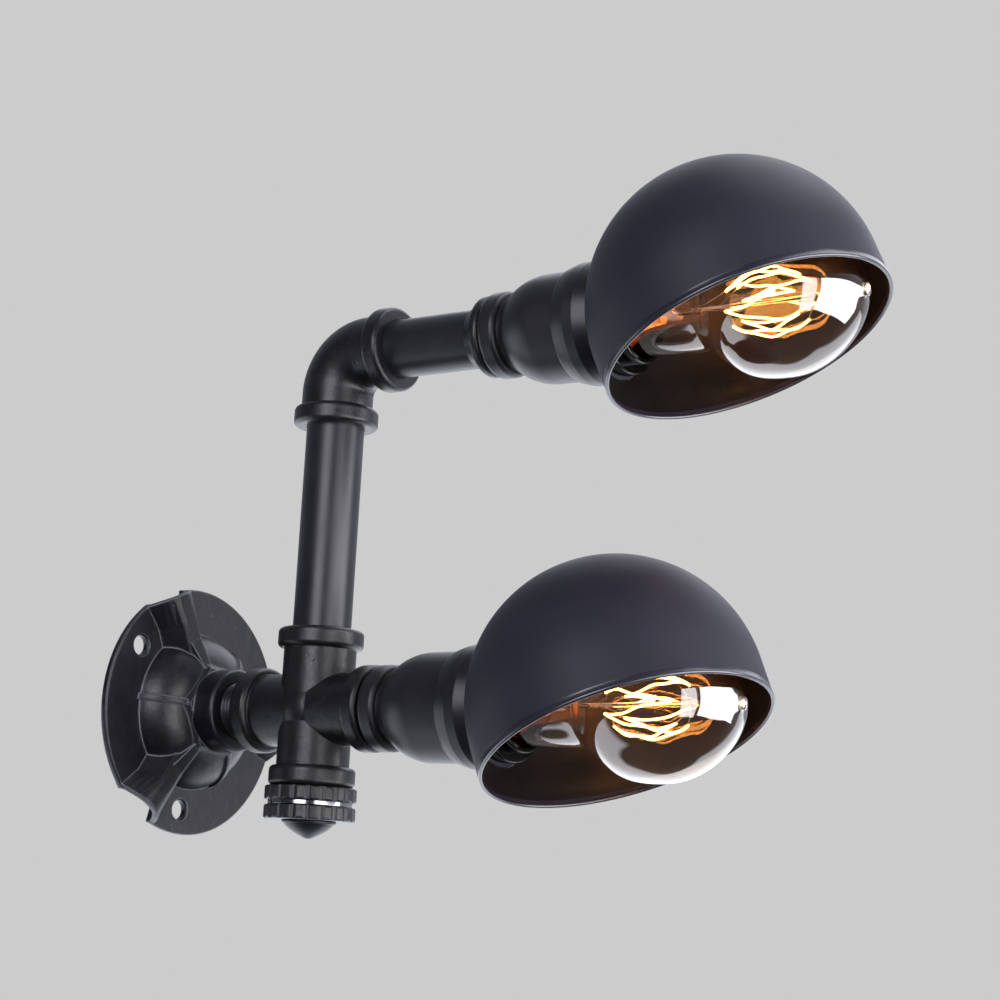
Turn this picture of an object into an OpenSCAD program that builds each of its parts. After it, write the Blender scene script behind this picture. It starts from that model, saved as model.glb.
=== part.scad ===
// Wall sconce built from threaded pipe, with two lamps in round shades
//
// The wall is the plane y = 0 and the sconce stands out from it towards -Y.
// Z is up. The origin is the middle of the flange, on the wall.
// All sizes are in millimetres.

/* [Wall flange] */
// Diameter of the cast flange
flange_d = 115.4; // [100:0.1:140]
// Thickness of the flange plate
flange_t = 3.4; // [2.5:0.1:5]
// Diameter of the circle through the three screw holes
hole_circle_d = 93; // [84:0.5:98]
// Diameter of each screw hole
hole_d = 9; // [5:0.5:10]
// Radius of the raised middle where it leaves the plate
dome_r = 36.5; // [34:0.1:38]
// Height of the raised middle above the wall
dome_h = 19.4; // [17:0.1:21]
// Radius of the arc that rounds the raised middle
dome_arc_r = 20.8; // [18:0.1:24]
// Height of the three hollow ridges above the wall
lobe_h = 15.4; // [12:0.1:17]
// Width of a ridge at the plate
lobe_w = 21; // [16:0.5:24]
// Width of a ridge along its top
lobe_top_w = 7; // [4:0.5:10]
// Width of a ridge where it opens at the rim
lobe_mouth_w = 31; // [26:0.5:32]
// Height of a ridge's opening above the wall
lobe_mouth_h = 14.6; // [12:0.1:15.2]
// Distance from the middle at which a ridge begins to widen
lobe_flare_at = 44; // [40:0.5:50]
// Direction of the first ridge, in degrees from +X towards +Z
lobe_dir = 115; // [0:1:119]
// Height of the threaded hub above the wall
hub_h = 32; // [28:0.5:36]
// Radius of the threaded hub
hub_r = 19.2; // [17:0.1:21]
// Wall thickness of the casting
cast_t = 3.2; // [2.5:0.1:4]

/* [Pipe and fittings] */
// Outside diameter of the pipe
pipe_d = 26.7; // [21.3:0.1:27]
// Bore of the pipe
pipe_bore = 20.9; // [18:0.1:21]
// Distance from the wall to the riser's centre line
riser_out = 78.4; // [74:0.1:90]
// Height of the upper arm above the lower lamp
arm_rise = 165.5; // [145:0.5:220]
// Turn of the upper arm about the riser, in degrees
arm_turn = 1; // [-5:0.5:5]
// Radius of the fittings' bodies
fitting_r = 16.5; // [16:0.1:18]
// Radius of the beads at the fittings' ends
bead_r = 19.5; // [18.5:0.1:21]
// Width of a bead
bead_w = 9; // [7:0.5:11]
// Cross, from its centre to its back, front and top ends
cross_reach = 36.4; // [35:0.1:36.9]
// Cross, from its centre to its lower end
cross_foot = 34.8; // [33:0.1:37]
// Elbow, from its corner to each end
elbow_reach = 34.5; // [31:0.1:36]
// Bend radius of the elbow's centre line
elbow_bend = 19; // [17.5:0.5:20]
// Depth that a pipe end screws into a fitting
thread_depth = 12; // [9:0.5:12.5]
// Start of the tapered collar on the arm, from the riser's centre line
arm_collar_at = 79; // [76:0.1:90]
// Length of the tapered collar
arm_collar_len = 10; // [8:0.1:12]

/* [Lamp holder] */
// Lower lamp, from the back of its cup to the centre of its shade
lower_lamp_len = 121.3; // [119:0.1:124]
// Upper lamp, from the back of its cup to the centre of its shade
upper_lamp_len = 117.2; // [116:0.1:120]
// Radius of the ring at the back of the cup
cup_ring_r = 19.3; // [18.5:0.1:20.5]
// Width of that ring
cup_ring_w = 9; // [7.5:0.1:10]
// Radius of the cup
cup_r = 24.2; // [23.8:0.1:25]
// Length of the cup
cup_len = 54; // [52:0.5:56]
// Wall of the cup
cup_t = 1.8; // [1.2:0.1:2]
// Outside radius of the clamping collar in front of the cup
collar_r = 26.9; // [26.5:0.1:28]
// Length of the clamping collar
collar_len = 18.5; // [16:0.5:20]
// Radius of the socket
socket_r = 19.75; // [19:0.05:20.5]
// Radius of the ring nut inside the shade
shade_nut_r = 24; // [22.5:0.1:25]

/* [Shade] */
// Radius of the round shade
shade_r = 62.4; // [61.5:0.1:66]
// Thickness of the shade's sheet
shade_t = 1.2; // [0.8:0.1:1.5]
// Length of the straight skirt from the ball's middle to the rim
skirt_len = 17; // [10:0.5:22]
// Radius of the rolled rim
rim_r = 0.9; // [0.7:0.1:1.5]
// Angle between the lamp's axis and the mouth's axis, in degrees
mouth_angle = 66; // [60:1:75]
// Turn of the lower shade about its lamp axis, in degrees
lower_shade_turn = -4.7; // [-180:0.1:180]
// Turn of the upper shade about its lamp axis, in degrees
upper_shade_turn = 1.3; // [-180:0.1:180]
// Depth of the flat seat in from the ball's back
seat_depth = 5.7; // [5.3:0.1:6.2]

/* [Bulb] */
// Length of the bulb, cap included
bulb_len = 140; // [138:0.5:141]
// Largest diameter of the bulb
bulb_d = 64; // [60:0.5:66]
// Diameter of the bulb's neck
neck_d = 35; // [32:0.5:35.5]
// Gap between the bulb's tip and the shade in front of it
tip_gap = 0.7; // [0.5:0.1:3]
// Thickness of the glass
glass_t = 0.9; // [0.7:0.1:1.2]
// Length of the screw cap
cap_len = 27; // [26:0.5:28]
// Radius of the screw cap over its thread
cap_r = 13.1; // [13:0.05:13.2]
// Length of the filament's cage
filament_len = 38; // [30:0.5:42]
// Number of loops in the filament
filament_loops = 6; // [4:1:8]
// Radius of the filament wire with its glow
filament_wire_r = 0.35; // [0.25:0.05:0.5]

/* [Switch knob] */
// Radius of the fixed fluted collar below the cross
knob_collar_r = 20.7; // [19.5:0.1:22]
// Height of that collar
knob_collar_h = 6.3; // [5:0.1:8]
// Radius of the polished band between the fluted rings
knob_band_r = 19; // [18:0.1:19.5]
// Height of the polished band
knob_band_h = 2.2; // [1.5:0.1:3]
// Radius of the turning knob
knob_r = 20.6; // [19.5:0.1:22]
// Height of the turning knob
knob_h = 6.3; // [5:0.1:8]
// Number of flutes round each ring
flutes = 20; // [16:1:28]
// Radius of the finial's foot
finial_r = 12.2; // [10:0.1:14]
// Height of the finial
finial_h = 8.1; // [6:0.1:10]

/* [Wiring] */
// Radius of an insulated lead
lead_r = 0.95; // [0.8:0.05:1]
// Radius of a wire cap at its mouth
wire_cap_r = 4.4; // [4.2:0.1:4.8]
// Length of a wire cap
wire_cap_len = 16.5; // [14:0.5:19]

/* [Hidden] */
$fn = 64;

// Radial clearance between a thread and the part it screws into
thread_fit = 0.05;
// Radial clearance between a turning piece and what it turns on
running_fit = 0.05;
// Radial clearance between a bulb's cap and the socket's screw shell
cap_fit = 0.4;
// Margin by which a cutting shape runs past a face
over = 1;

pipe_r = pipe_d / 2;
bore_r = pipe_bore / 2;
port_r = pipe_r + thread_fit;
flange_r = flange_d / 2;

// Thread left to see between the cross and the lower cup
cup_joint = 1.1;
// Places of the cups and the shades, from the riser's centre line
lower_cup_at = cross_reach + cup_joint;
upper_cup_at = arm_collar_at + arm_collar_len + 0.3;
lower_shade_at = lower_cup_at + lower_lamp_len;
upper_shade_at = upper_cup_at + upper_lamp_len;
// Depth of the pipe thread inside a cup's ring
cup_thread = cup_ring_w - 1;
// Place of the web inside a cup, and its thickness
cup_web_at = cup_ring_w + 2.5;
cup_web_t = 2.5;
// Place where the cup reaches its full width
cup_full_at = cup_ring_w + 21;
// Radius of the arc that widens the cup from its groove
cup_arc_r = 27.8;

// Clamped seat of the shade, measured back from the shade's centre
seat_back = shade_r - seat_depth;

// Bulb lengths, measured from the shade's centre
tip_out = shade_r - shade_t - tip_gap;
base_at = tip_out - bulb_len;
cap_top = base_at + cap_len;
thread_pitch = 3.63;
shell_r = cap_r + cap_fit;
neck_r = neck_d / 2;

// Socket lengths, measured back from the shade's centre: the floor lies
// behind the bulb's contact, and the chamber and its back wall behind that
contact_h = 1.2;
floor_at = contact_h - base_at;
floor_t = 1.8;
chamber_t = 3.5;
back_t = 4;
socket_back = floor_at + floor_t + chamber_t + back_t;
socket_front = seat_back - 12.7;
socket_mouth_r = neck_r + 0.2;
shell_bore_r = shell_r + 1.4;
chamber_r = 12.4;
stem_r = 5;
stem_bore_r = 3.9;
shoulder_r = socket_r + 2.15;
collar_lip = 2.3;
shoulder_t = 2.5;
terminal_x = 3;
neutral_x = 10;
nut_h = 6;

// Radius of the shade's flat seat, just inside the ball's outer face
seat_r = sqrt(pow(shade_r, 2) - pow(seat_back, 2)) - 0.1;

// Earth screw: its distance above the middle and its radius, and the
// height of the roof of the flange's hollow
earth_at = (port_r + hub_r) / 2;
earth_r = 1.5;
roof_h = dome_h - cast_t;
terminal_t = 1.2;
terminal_r = 3.4;

// Gap between the bulb's contact and the socket's
contact_gap = 0.05;
// Height of the rivet heads behind the socket's floor
rivet_t = 0.8;

// Knob heights, measured down from the cross's centre
knob_collar_at = cross_foot + 0.2;
knob_band_at = knob_collar_at + knob_collar_h;
knob_at = knob_band_at + knob_band_h;
finial_at = knob_at + knob_h;
// Peg of the finial in the knob
peg_r = 2.4;
peg_len = 2;
switch_r = 10;
switch_top = 14;
shaft_r = 3;

/* [Places] */
// Turns a piece drawn upwards so that it points away from the wall
module away_from_wall() {
  rotate([90, 0, 0]) children();
}

// Moves to the cross, in the middle of the riser
module at_cross() {
  translate([0, -riser_out, 0]) children();
}

// Lower lamp: z runs out along the lamp's axis from the riser
module on_lower_axis() {
  at_cross() rotate([90, 0, 0]) children();
}

// Upper lamp: the same, at the elbow and turned with the arm
module on_upper_axis() {
  at_cross() translate([0, 0, arm_rise]) rotate([0, 0, arm_turn]) rotate([90, 0, 0]) children();
}

module at_lower_shade() {
  on_lower_axis() translate([0, 0, lower_shade_at]) children();
}

module at_upper_shade() {
  on_upper_axis() translate([0, 0, upper_shade_at]) children();
}

// Repeats a piece three times round the flange
module three_round(start) {
  for (i = [0:2]) rotate([0, 0, start + 120 * i]) children();
}

/* [Turned sections] */
// Half section of a ring with rounded outer corners
module ring_section(r_in, r_out, z0, z1, e) {
  translate([r_in, z0 + e]) square([r_out - r_in, z1 - z0 - 2 * e]);
  translate([r_in, z0]) square([r_out - e - r_in, z1 - z0]);
  translate([r_out - e, z0 + e]) circle(e);
  translate([r_out - e, z1 - e]) circle(e);
}

module rounded_ring(r_in, r_out, z0, z1, e) {
  rotate_extrude() ring_section(r_in, r_out, z0, z1, e);
}

// Straight piece of pipe between two heights
module pipe_piece(z0, z1) {
  difference() {
    translate([0, 0, z0]) cylinder(h = z1 - z0, r = pipe_r);
    translate([0, 0, z0 - over]) cylinder(h = z1 - z0 + 2 * over, r = bore_r);
  }
}

/* [Flange parts] */
// Solid of the raised middle, with its surface moved out by grow
module dome_solid(grow) {
  mid_z = dome_h - dome_arc_r;
  mid_r = dome_r - sqrt(pow(dome_arc_r, 2) - pow(flange_t - mid_z, 2));
  rotate_extrude()
  intersection() {
    square([dome_r + 5, dome_h + 5]);
    union() {
      translate([mid_r, mid_z]) circle(dome_arc_r + grow);
      square([mid_r, dome_h + grow]);
    }
  }
}

// Half section of a ridge, from its foot inside the plate to its middle: a
// sloping wall and a narrow top, and then the arch that it ends in at the rim
lobe_foot = flange_t - 1;
function wall_side(w, top, h) =
  let (edge = [top + 1.2, h - 1.2], foot = [w + (w - edge[0]) / (edge[1] - flange_t), lobe_foot])
  concat([[foot[0], 0]], [for (i = [0:4]) foot + (edge - foot) * i / 4], [[top, h - 0.3], [top - 0.8, h]]);
function arch_side(w, h) =
  concat([[w, 0]], [for (i = [0:6]) [w * (1 - i / 6.4), lobe_foot + (h - lobe_foot) * sin(15 * i)]]);
// The whole section at a distance x along the ridge, from one foot to the other
function ridge_row(side, x) =
  [for (p = side) [x, p[0], p[1]], for (i = [len(side) - 1:-1:0]) [x, -side[i][0], side[i][1]]];

// Closed skin over rows of n points
module skin(points, n) {
  last = len(points) - n;
  sides = [for (i = [0:n:last - n]) for (k = [0:n - 1]) let (m = (k + 1) % n)
    each [[i + k, i + n + k, i + n + m], [i + k, i + n + m, i + m]]];
  polyhedron(points, concat(sides, [[for (k = [0:n - 1]) k], [for (k = [n - 1:-1:0]) last + k]]));
}

// A ridge along +X from the middle to beyond the rim, made smaller by a wall
// thickness for its hollow
module lobe(wall) {
  side = wall_side(lobe_w / 2 - wall * 1.05, lobe_top_w / 2 - wall * 0.4, lobe_h - wall);
  end = arch_side(lobe_mouth_w / 2 - wall, lobe_mouth_h - wall);
  skin([each ridge_row(side, 0), each ridge_row(side, lobe_flare_at), each ridge_row(end, flange_r),
    each ridge_row(end, flange_r + over)], 16);
}

// Ramp from a ridge's top up to the hub, drawn along +X
module lobe_ramp() {
  top = dome_h + 0.8;
  foot = dome_r - 1.5;
  intersection() {
    rotate([90, 0, 0]) translate([0, 0, -lobe_w / 2]) linear_extrude(lobe_w)
      polygon([[hub_r - 2, 0], [foot, 0], [foot, lobe_h], [hub_r, top], [hub_r - 2, top]]);
    rotate([90, 0, 90]) linear_extrude(dome_r)
      polygon([[-lobe_w / 2, 0], [-lobe_w / 2, flange_t], [-lobe_top_w / 2, lobe_h],
        [-lobe_top_w / 4, top], [lobe_top_w / 4, top], [lobe_top_w / 2, lobe_h],
        [lobe_w / 2, flange_t], [lobe_w / 2, 0]]);
  }
}

module wall_flange() {
  color("dimgray")
  away_from_wall()
  difference() {
    union() {
      rounded_ring(0, flange_r, 0, flange_t, 0.8);
      dome_solid(0);
      // Raised ridges out to the rim
      intersection() {
        three_round(lobe_dir) lobe(0);
        cylinder(h = dome_h, r = flange_r - 0.2);
      }
      three_round(lobe_dir) lobe_ramp();
      // Thin ribs down the middle, halfway between the ridges
      intersection() {
        dome_solid(1.2);
        three_round(lobe_dir + 60) translate([hub_r - 1, -1.3, 0]) cube([22, 2.6, dome_h + 2]);
      }
      // Six-sided seat for the wrench, and the hub
      rotate([0, 0, lobe_dir]) translate([0, 0, dome_h - 1.4])
        cylinder(h = 3, r1 = hub_r + 5, r2 = hub_r + 2, $fn = 6);
      rounded_ring(0, hub_r, dome_h - 2, hub_h, 1.5);
    }
    // Hollow back
    translate([0, 0, -over]) cylinder(h = over + flange_t, r = dome_r - cast_t);
    dome_solid(-cast_t);
    three_round(lobe_dir) translate([0, 0, -0.01]) lobe(cast_t);
    // Threaded bore
    cylinder(h = hub_h + over, r = port_r);
    // Screw holes
    three_round(lobe_dir + 30) translate([hole_circle_d / 2, 0, 0]) {
      translate([0, 0, -over]) cylinder(h = flange_t + 2 * over, r = hole_d / 2);
      translate([0, 0, flange_t - 0.8]) cylinder(h = 1.6, r1 = hole_d / 2, r2 = hole_d / 2 + 1.6);
    }
    // Flat spot for the earth terminal, and its threaded hole in the hub's wall
    translate([0, earth_at, roof_h - 2]) cylinder(h = 2, r = terminal_r + 0.3);
    translate([0, earth_at, roof_h - over]) cylinder(h = 5 + over, r = earth_r + thread_fit);
  }
}

/* [Pipework parts] */
module flange_nipple() {
  color("slategray") away_from_wall() pipe_piece(roof_h + 1, riser_out - cross_reach + thread_depth);
}

// One end of a fitting, pointing up z from the fitting's centre
module port(reach) {
  cylinder(h = reach - over, r = fitting_r);
  rounded_ring(0, bead_r, reach - bead_w, reach, 2.2);
}

module port_bore(reach) {
  cylinder(h = reach + over, r = bore_r);
  translate([0, 0, reach - thread_depth - 0.5]) cylinder(h = thread_depth + 0.5 + over, r = port_r);
}

// The cross's ends: up, out, down and back
cross_ends = [[0, cross_reach], [90, cross_reach], [180, cross_foot], [270, cross_reach]];

module pipe_cross() {
  color("dimgray")
  at_cross()
  difference() {
    union() {
      for (e = cross_ends) rotate([e[0], 0, 0]) port(e[1]);
      sphere(fitting_r + 1.2);
    }
    for (e = cross_ends) rotate([e[0], 0, 0]) port_bore(e[1]);
  }
}

module riser_pipe() {
  color("slategray")
  at_cross() pipe_piece(cross_reach - thread_depth, arm_rise - elbow_reach + thread_depth);
}

// Quarter bend from straight down to straight out
module quarter_bend(bend, r) {
  rotate([0, -90, 0]) translate([bend, -bend, 0]) rotate([0, 0, 90])
    rotate_extrude(angle = 90) translate([bend, 0]) circle(r);
}

module pipe_elbow() {
  color("dimgray")
  on_upper_axis()
  difference() {
    union() {
      quarter_bend(elbow_bend, fitting_r);
      translate([0, 0, elbow_bend]) port(elbow_reach - elbow_bend);
      rotate([90, 0, 0]) translate([0, 0, elbow_bend]) port(elbow_reach - elbow_bend);
    }
    quarter_bend(elbow_bend, bore_r);
    translate([0, 0, elbow_bend]) port_bore(elbow_reach - elbow_bend);
    rotate([90, 0, 0]) translate([0, 0, elbow_bend]) port_bore(elbow_reach - elbow_bend);
  }
}

// Pipe from the elbow to the upper cup
module arm_pipe() {
  color("slategray") on_upper_axis() pipe_piece(elbow_reach - thread_depth, upper_cup_at + cup_thread);
}

module arm_collar() {
  color("dimgray")
  on_upper_axis()
  translate([0, 0, arm_collar_at])
  difference() {
    union() {
      cylinder(h = arm_collar_len * 0.6, r1 = pipe_r + 0.5, r2 = cup_ring_r - 2);
      rounded_ring(0, cup_ring_r - 0.9, arm_collar_len * 0.5, arm_collar_len, 1.8);
    }
    translate([0, 0, -over]) cylinder(h = arm_collar_len + 2 * over, r = port_r);
  }
}

module lower_nipple() {
  color("slategray") on_lower_axis() pipe_piece(cross_reach - thread_depth, lower_cup_at + cup_thread);
}

/* [Lamp holder parts] */
// Outline of the cup's widening, moved in by t, from a place near its groove
function cup_side(t, from) =
  let (r = cup_arc_r - t, start = asin((cup_full_at - from) / r))
  [for (i = [0:14]) let (a = start * (1 - i / 14))
    [cup_r - cup_arc_r + r * cos(a), cup_full_at - r * sin(a)]];

// Cup that covers the socket, with its back face at z = 0
module cup() {
  groove = cup_ring_w + 1.2;
  floor = cup_web_at + cup_web_t;
  difference() {
    union() {
      rounded_ring(0, cup_ring_r, 0, cup_ring_w, 2.3);
      cylinder(h = cup_ring_w + 4, r = fitting_r);
      rotate_extrude()
        polygon(concat([[0, groove]], cup_side(0, groove), [[cup_r, cup_len], [0, cup_len]]));
    }
    translate([0, 0, -over]) cylinder(h = cup_thread + over + 0.5, r = port_r);
    cylinder(h = cup_web_at, r = bore_r);
    cylinder(h = cup_len, r = stem_r + thread_fit);
    rotate_extrude()
      polygon(concat([[0, floor]], cup_side(cup_t, floor),
        [[cup_r - cup_t, cup_len + over], [0, cup_len + over]]));
  }
}

module lower_cup() {
  color("black") on_lower_axis() translate([0, 0, lower_cup_at]) cup();
}

module upper_cup() {
  color("black") on_upper_axis() translate([0, 0, upper_cup_at]) cup();
}

// Flared collar that presses the shade against its ring nut
module shade_collar() {
  front = -seat_back;
  back = front - collar_len;
  inner = cup_r + 0.15;
  rotate_extrude()
    polygon([
      [inner, back], [collar_r - 2.1, back], [collar_r - 1.5, back + 1], [collar_r - 0.5, back + 4.5],
      [collar_r, back + 7], [collar_r, front - 6.8], [collar_r - 0.4, front - 5.4],
      [collar_r - 1.7, front - 0.9], [collar_r - 2.4, front],
      [socket_r + thread_fit, front], [socket_r + thread_fit, front - collar_lip],
      [shoulder_r + 0.4, front - collar_lip], [inner, front - collar_lip - 2.2]
    ]);
}

module lower_shade_collar() {
  color("black") at_lower_shade() shade_collar();
}

module upper_shade_collar() {
  color("black") at_upper_shade() shade_collar();
}

// Hollow threaded stem from the web of a cup to its socket
module socket_stem(cup_at, shade_at) {
  back = cup_at + cup_web_at - nut_h - 1;
  difference() {
    translate([0, 0, back]) cylinder(h = shade_at - socket_back + back_t - back, r = stem_r);
    cylinder(h = shade_at, r = stem_bore_r);
  }
}

module socket_stems() {
  color("goldenrod") on_lower_axis() socket_stem(lower_cup_at, lower_shade_at);
  color("goldenrod") on_upper_axis() socket_stem(upper_cup_at, upper_shade_at);
}

// Six-sided nut behind the web of a cup
module stem_nut(cup_at) {
  translate([0, 0, cup_at + cup_web_at - nut_h])
  difference() {
    cylinder(h = nut_h, r = 9, $fn = 6);
    translate([0, 0, -over]) cylinder(h = nut_h + 2 * over, r = stem_r + thread_fit);
  }
}

module stem_nuts() {
  color("goldenrod") on_lower_axis() stem_nut(lower_cup_at);
  color("goldenrod") on_upper_axis() stem_nut(upper_cup_at);
}

// Socket with its wiring chamber, floor and open mouth
module socket() {
  difference() {
    union() {
      rounded_ring(0, socket_r, -socket_back, -socket_front, 0.8);
      translate([0, 0, -seat_back - collar_lip - shoulder_t]) cylinder(h = shoulder_t, r = shoulder_r);
    }
    // Mouth for the bulb's neck, and the bore of the screw shell
    translate([0, 0, -floor_at]) cylinder(h = floor_at, r = shell_bore_r);
    translate([0, 0, cap_top + 0.5]) cylinder(h = bulb_len, r = socket_mouth_r);
    // Wiring chamber behind the floor, and the stem's thread
    translate([0, 0, -floor_at - floor_t - chamber_t]) cylinder(h = chamber_t, r = chamber_r);
    translate([0, 0, -socket_back - over]) cylinder(h = back_t + 2 * over, r = stem_r + thread_fit);
    // Holes for the two contact rivets
    translate([-terminal_x, 0, -floor_at - floor_t - over]) cylinder(h = floor_t + 2 * over, r = 1.25);
    translate([neutral_x, 0, -floor_at - floor_t - over]) cylinder(h = floor_t + 2 * over, r = 1.25);
  }
}

module lower_socket() {
  color("darkslategray") at_lower_shade() socket();
}

module upper_socket() {
  color("darkslategray") at_upper_shade() socket();
}

// Rolled brass shell that takes the bulb's thread, with its rivet
module screw_shell() {
  wall = 0.45;
  z0 = -floor_at + 1.6;
  z1 = cap_top - 3.2;
  steps = floor((z1 - z0) / thread_pitch);
  wave = [for (i = [0:steps - 1]) for (p = [[0, 0.1], [0, 0.4], [0.6, 0.6], [0.6, 0.9]])
    [shell_r + p[0], z0 + (i + p[1]) * thread_pitch]];
  back_wave = [for (i = [len(wave) - 1:-1:0]) [wave[i][0] + wall, wave[i][1]]];
  rotate_extrude()
    polygon(concat([[8.5, -floor_at], [8.5, -floor_at + wall], [shell_r, -floor_at + wall]], wave,
      [[shell_r, z1], [shell_r + wall, z1]], back_wave, [[shell_r + wall, -floor_at]]));
  translate([neutral_x, 0, -floor_at - floor_t - rivet_t]) {
    cylinder(h = floor_t + rivet_t + 0.2, r = 1.2);
    cylinder(h = rivet_t, r = 2.2);
  }
}

module lower_screw_shell() {
  color("goldenrod") at_lower_shade() screw_shell();
}

module upper_screw_shell() {
  color("goldenrod") at_upper_shade() screw_shell();
}

// Centre contact with its rivet
module contact() {
  translate([-terminal_x, 0, -floor_at - floor_t - rivet_t]) {
    cylinder(h = floor_t + rivet_t + 0.2, r = 1.2);
    cylinder(h = rivet_t, r = 2.2);
  }
  translate([-terminal_x - 2, -2, -floor_at]) cube([terminal_x + 4.5, 4, 0.6]);
  translate([0, 0, -floor_at]) cylinder(h = base_at + floor_at - contact_gap, r = 2);
}

module lower_contact() {
  color("gold") at_lower_shade() contact();
}

module upper_contact() {
  color("gold") at_upper_shade() contact();
}

// Ring nut inside the shade, with four notches for turning it
module shade_nut() {
  difference() {
    rounded_ring(socket_r + thread_fit, shade_nut_r, -seat_back + shade_t, -seat_back + shade_t + 6, 1);
    for (a = [45:90:315]) rotate([0, 0, a]) translate([shade_nut_r + 1, 0, -seat_back + shade_t + 2])
      cylinder(h = 6, r = 2.2);
  }
}

module lower_shade_nut() {
  color("black") at_lower_shade() shade_nut();
}

module upper_shade_nut() {
  color("black") at_upper_shade() shade_nut();
}

/* [Shade parts] */
// Half section of the bowl, drawn with the mouth upwards
module bowl_section(r, top) {
  intersection() {
    circle(r);
    translate([0, -r - 1]) square([r + 1, r + 1.01]);
  }
  square([r, top]);
}

// Spun shade: a ball with a straight skirt, a flat seat and a hole for the socket
module shade(turn) {
  difference() {
    union() {
      difference() {
        rotate([0, 0, turn]) rotate([mouth_angle, 0, 0])
        rotate_extrude() {
          difference() {
            bowl_section(shade_r, skirt_len);
            bowl_section(shade_r - shade_t, skirt_len + over);
          }
          translate([shade_r - rim_r + 0.2, skirt_len - 0.2]) circle(rim_r);
        }
        translate([0, 0, -shade_r - over]) cylinder(h = shade_r - seat_back + over, r = shade_r / 2);
      }
      translate([0, 0, -seat_back]) cylinder(h = shade_t, r = seat_r);
    }
    translate([0, 0, -shade_r]) cylinder(h = shade_r / 2, r = socket_r + running_fit);
  }
}

module lower_shade() {
  color("dimgray") at_lower_shade() shade(lower_shade_turn);
}

module upper_shade() {
  color("dimgray") at_upper_shade() shade(upper_shade_turn);
}

/* [Bulb parts] */
// Outline of the pear-shaped bulb from its cap to the point of the tip,
// as radius and distance from the shade's centre
bulb_r = bulb_d / 2;
neck_foot_r = cap_r - 0.95;
bulb_knots = [
  [neck_foot_r, cap_top - 1.5], [neck_foot_r, cap_top - 0.2], [neck_r - 3.9, cap_top + 3],
  [neck_r - 2, cap_top + 8], [neck_r - 0.5, cap_top + 15],
  [neck_r, cap_top + 24], [neck_r + 0.1, tip_out - 74], [neck_r + 2, tip_out - 69.5],
  [bulb_r * 0.81, tip_out - 61], [bulb_r * 0.955, tip_out - 52], [bulb_r, tip_out - 41],
  [bulb_r * 0.965, tip_out - 30], [bulb_r * 0.81, tip_out - 19], [bulb_r * 0.58, tip_out - 10.5],
  [bulb_r * 0.33, tip_out - 5], [3.4, tip_out - 2.6], [2.6, tip_out - 0.9], [0, tip_out]
];

// Smooth curve through four neighbouring points
function curve(a, b, c, d, t) =
  0.5 * (2 * b + (c - a) * t + (2 * a - 5 * b + 4 * c - d) * t * t
    + (3 * b - a - 3 * c + d) * t * t * t);

function smooth(k, steps) =
  let (n = len(k))
  [for (i = [0:n - 2]) for (j = [0:steps - 1])
    curve(k[max(i - 1, 0)], k[i], k[i + 1], k[min(i + 2, n - 1)], j / steps)];

// The outline moved in by a wall thickness
function inset(k, t) = [for (p = k) [max(p[0] - t, 0), p[1] > tip_out - 2 ? p[1] - t : p[1]]];

module bulb_glass() {
  outer = concat(smooth(bulb_knots, 3), [[0, tip_out]]);
  inner_knots = inset(bulb_knots, glass_t);
  inner = concat(smooth(inner_knots, 3), [[0, tip_out - glass_t]]);
  rotate_extrude()
    polygon(concat(outer, [for (i = [len(inner) - 1:-1:0]) inner[i]]));
}

module lower_bulb_glass() {
  color("sandybrown", 0.4) at_lower_shade() bulb_glass();
}

module upper_bulb_glass() {
  color("sandybrown", 0.4) at_upper_shade() bulb_glass();
}

// Brass screw cap: a thin shell with a rolled thread
module bulb_cap() {
  wall = 0.35;
  z0 = base_at + 4;
  z1 = cap_top - 6;
  steps = floor((z1 - z0) / thread_pitch);
  wave = [for (i = [0:steps - 1]) for (p = [[0.9, 0.05], [0.9, 0.25], [0, 0.5], [0, 0.8]])
    [cap_r - p[0], z0 + (i + p[1]) * thread_pitch]];
  back_wave = [for (i = [len(wave) - 1:-1:0]) [wave[i][0] - wall, wave[i][1]]];
  rotate_extrude()
    polygon(concat([[cap_r - 2.4, base_at + 3]], wave, [[cap_r - 0.4, cap_top], [cap_r - 0.75, cap_top]],
      back_wave, [[cap_r - 2.75, base_at + 3]]));
  // Solder on the centre contact
  translate([0, 0, base_at + 1.2]) cylinder(h = 0.5, r = 4.6);
  intersection() {
    translate([0, 0, base_at + 5]) sphere(5);
    translate([0, 0, base_at - over]) cylinder(h = 2.2 + over, r = 4.6);
  }
}

module lower_bulb_cap() {
  color("goldenrod") at_lower_shade() bulb_cap();
}

module upper_bulb_cap() {
  color("goldenrod") at_upper_shade() bulb_cap();
}

// Black glass between the centre contact and the cap
module cap_insulator() {
  rotate_extrude()
    polygon([[0, base_at + 2.2], [5.2, base_at + 2.2], [cap_r - 2.75, base_at + 3],
      [cap_r - 2.75, base_at + 3.4], [cap_r - 3.3, base_at + 6], [0, base_at + 6]]);
}

module lower_cap_insulator() {
  color("black") at_lower_shade() cap_insulator();
}

module upper_cap_insulator() {
  color("black") at_upper_shade() cap_insulator();
}

// Glass mount inside the neck: a flared foot, a flat pinch and a rod
module bulb_stem() {
  foot = cap_top - 1.4;
  foot_r = neck_foot_r - glass_t - 0.13;
  rotate_extrude()
    polygon([[0, foot + 3.2], [6, foot + 3], [foot_r - 1, foot], [foot_r, foot], [foot_r, foot + 0.8],
      [7, foot + 5], [4.4, foot + 11], [3.6, foot + 20], [0, foot + 20]]);
  translate([-5.5, -1.6, foot + 19]) cube([11, 3.2, 8]);
  translate([0, 0, foot + 26]) cylinder(h = filament_front - foot - 24, r = 1.1);
  translate([0, 0, filament_front + 2]) sphere(2);
}

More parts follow.
